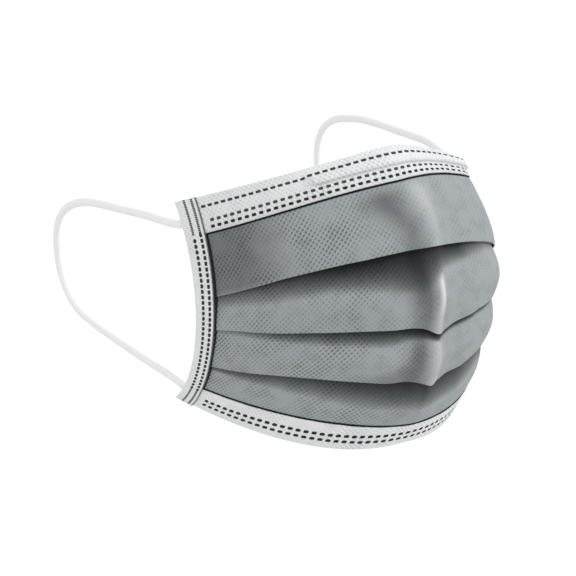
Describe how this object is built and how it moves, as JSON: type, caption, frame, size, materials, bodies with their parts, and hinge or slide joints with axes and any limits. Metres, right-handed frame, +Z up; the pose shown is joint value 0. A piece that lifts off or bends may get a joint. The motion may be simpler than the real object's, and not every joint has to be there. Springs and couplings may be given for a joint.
{
  "type": "pleated dust mask",
  "caption": "Pleated three-ply dust mask with a bendable nose strip inside its turned-over top edge, side bands and elastic ear loops, shaped as it sits on a face.",
  "frame": {"origin": "middle of the opening that rests on the face, halfway up between the middles of the two side edges", "axes": "+Z up, the front of the mask faces -Y and the wearer's face is at +Y, +X towards the right-hand side as seen from the front"},
  "size_m": [0.1306, 0.1572, 0.1033],
  "materials": {
    "grey_fabric": "matte embossed nonwoven",
    "white_fabric": "matte nonwoven",
    "filter_fabric": "matte melt-blown nonwoven",
    "sleeve_plastic": "matte",
    "steel_wire": "galvanised",
    "white_elastic": "soft knitted elastic"
  },
  "bodies": {
    "mask": {"outer_layer": "grey_fabric", "filter_layer": "filter_fabric", "inner_layer": "white_fabric", "nose_sleeve": "sleeve_plastic", "nose_wire_upper": "steel_wire", "nose_wire_lower": "steel_wire", "left_side_band": "white_fabric", "right_side_band": "white_fabric", "left_loop_ends": "white_elastic", "right_loop_ends": "white_elastic"},
    "left_loop": {"left_ear_loop": "white_elastic"},
    "right_loop": {"right_ear_loop": "white_elastic"}
  },
  "joints": [
    {"name": "left_loop_swing", "type": "hinge", "parent": "mask", "child": "left_loop", "pos_m": [-0.0556, 0.01646, 0.00095], "axis": [-0.0716, -0.143, 0.9871], "range_deg": [-50, 90]},
    {"name": "right_loop_swing", "type": "hinge", "parent": "mask", "child": "right_loop", "pos_m": [0.0556, 0.01646, 0.00095], "axis": [-0.0716, 0.143, -0.9871], "range_deg": [-26, 114]}
  ]
}
